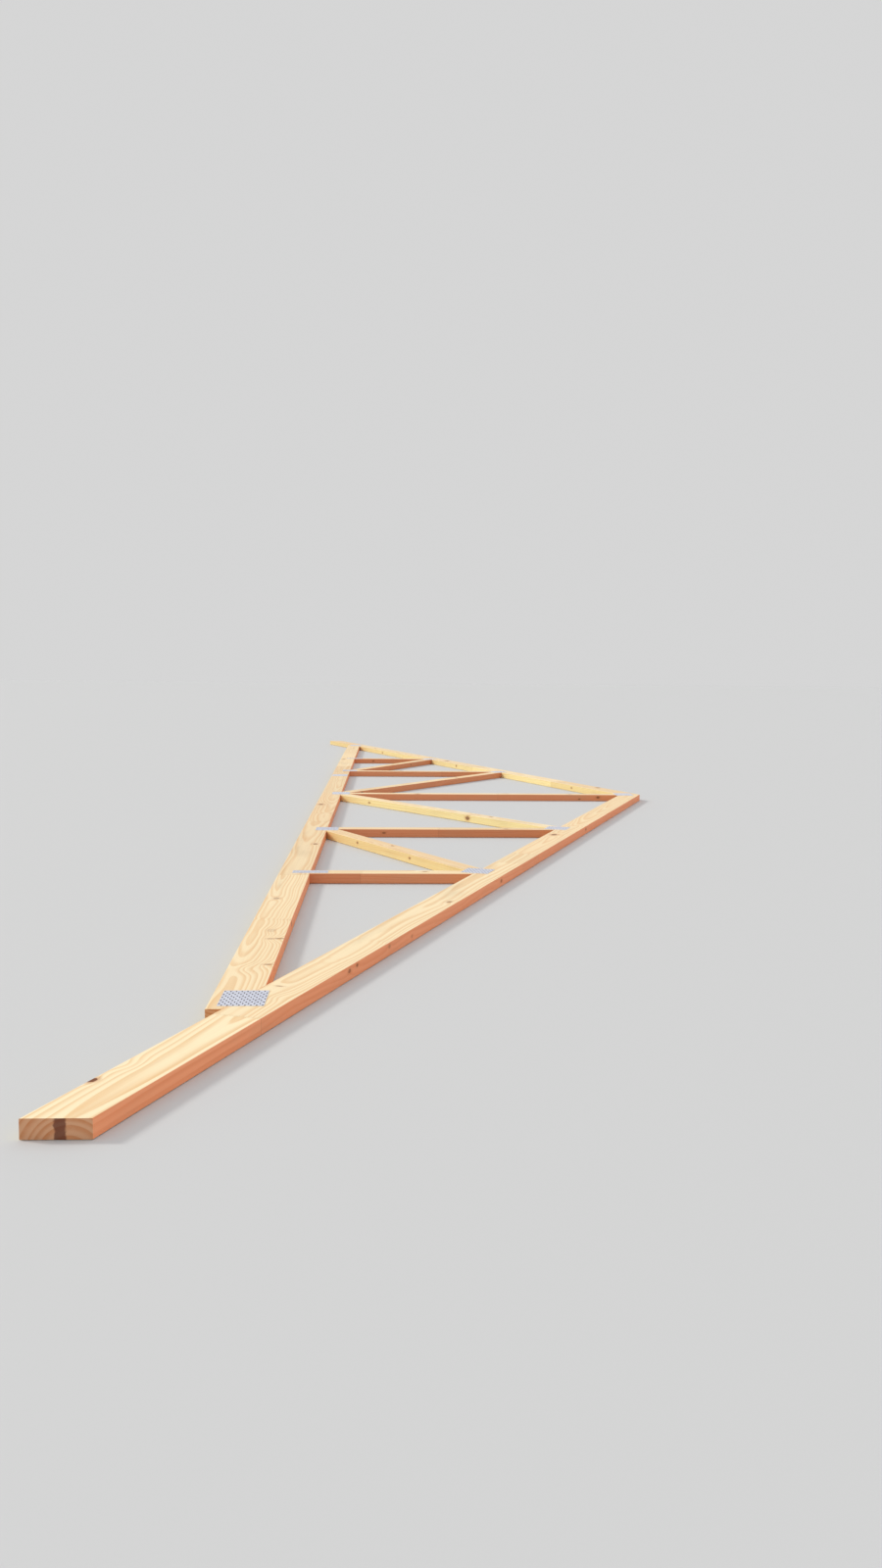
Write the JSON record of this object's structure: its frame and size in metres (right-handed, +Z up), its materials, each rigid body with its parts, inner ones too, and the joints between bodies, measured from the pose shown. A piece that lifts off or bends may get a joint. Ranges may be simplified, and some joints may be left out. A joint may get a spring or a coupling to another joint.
{
  "type": "roof truss",
  "caption": "Gable roof truss of pine chords, posts and diagonals, joined on both faces by punched galvanised nail plates, with rafter tails past the heels.",
  "frame": {"origin": "on the lowest plane (the lower nail plates' outer faces), under the middle of the outline", "axes": "+X along the bottom chord, +Y from the bottom chord towards the apex, +Z up through the thickness"},
  "size_m": [10.48, 2.0776, 0.038],
  "materials": {
    "chord_pine": "planed",
    "web_pine": "planed",
    "galvanised_plate": "galvanised"
  },
  "bodies": {
    "root": {"bottom_chord_left": "chord_pine", "bottom_chord_right": "chord_pine", "diagonal_inner_left": "web_pine", "diagonal_inner_right": "web_pine", "diagonal_outer_left": "web_pine", "diagonal_outer_right": "web_pine", "king_post": "web_pine", "plate_apex_lower": "galvanised_plate", "plate_apex_upper": "galvanised_plate", "plate_heel_left_lower": "galvanised_plate", "plate_heel_left_upper": "galvanised_plate", "plate_heel_right_lower": "galvanised_plate", "plate_heel_right_upper": "galvanised_plate", "plate_inner_foot_left_lower": "galvanised_plate", "plate_inner_foot_left_upper": "galvanised_plate", "plate_inner_foot_right_lower": "galvanised_plate", "plate_inner_foot_right_upper": "galvanised_plate", "plate_inner_head_left_lower": "galvanised_plate", "plate_inner_head_left_upper": "galvanised_plate", "plate_inner_head_right_lower": "galvanised_plate", "plate_inner_head_right_upper": "galvanised_plate", "plate_king_foot_lower": "galvanised_plate", "plate_king_foot_upper": "galvanised_plate", "plate_outer_foot_left_lower": "galvanised_plate", "plate_outer_foot_left_upper": "galvanised_plate", "plate_outer_foot_right_lower": "galvanised_plate", "plate_outer_foot_right_upper": "galvanised_plate", "plate_outer_head_left_lower": "galvanised_plate", "plate_outer_head_left_upper": "galvanised_plate", "plate_outer_head_right_lower": "galvanised_plate", "plate_outer_head_right_upper": "galvanised_plate", "plate_splice_lower": "galvanised_plate", "plate_splice_upper": "galvanised_plate", "post_inner_left": "web_pine", "post_inner_right": "web_pine", "post_outer_left": "web_pine", "post_outer_right": "web_pine", "top_chord_left": "chord_pine", "top_chord_right": "chord_pine"}
  },
  "joints": []
}
